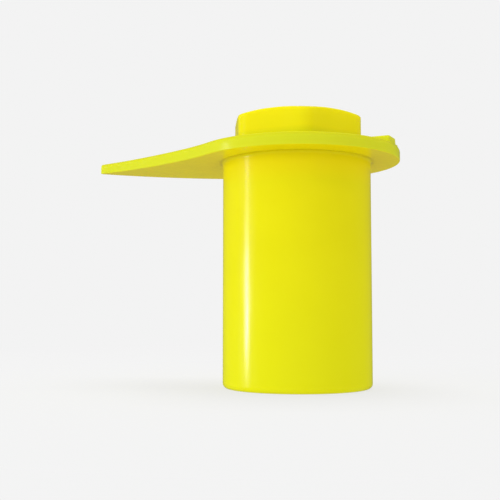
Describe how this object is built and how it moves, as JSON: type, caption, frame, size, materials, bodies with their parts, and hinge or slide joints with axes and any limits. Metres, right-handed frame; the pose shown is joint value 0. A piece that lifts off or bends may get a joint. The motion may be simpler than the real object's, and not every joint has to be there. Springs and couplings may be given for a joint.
{
  "type": "wheel nut indicator cap",
  "caption": "Long-reach wheel nut indicator and dust cap: a round reach tube with a nut sleeve in its mouth, a plug-in hexagonal cap and a lift-off pointer ring.",
  "frame": {"origin": "centre of the tube's open mouth, in the plane that the part stands on, on the tube's axis", "axes": "+Z along the tube's axis, from the mouth to the hexagon's closed end; the pointer reaches along -X and the thumb rib is on +X"},
  "size_m": [0.0969, 0.0584, 0.0763],
  "materials": {
    "tube_plastic": "satin moulded polyethylene, slightly translucent, bright yellow",
    "sleeve_plastic": "satin moulded polyethylene, yellow",
    "cap_plastic": "satin moulded polyethylene, slightly translucent, bright yellow",
    "pointer_plastic": "satin moulded polyethylene, slightly translucent, greenish yellow"
  },
  "bodies": {
    "tube": {"reach_tube": "tube_plastic", "nut_grip_sleeve": "sleeve_plastic"},
    "cap": {"hex_cap": "cap_plastic"},
    "pointer": {"pointer_ring": "pointer_plastic"}
  },
  "joints": [
    {"name": "hex_cap_pull", "type": "slide", "parent": "tube", "child": "cap", "axis": [0, 0, 1], "range_m": [0, 0.012]},
    {"name": "pointer_ring_lift", "type": "slide", "parent": "cap", "child": "pointer", "axis": [0, 0, 1], "range_m": [0, 0.015]}
  ]
}
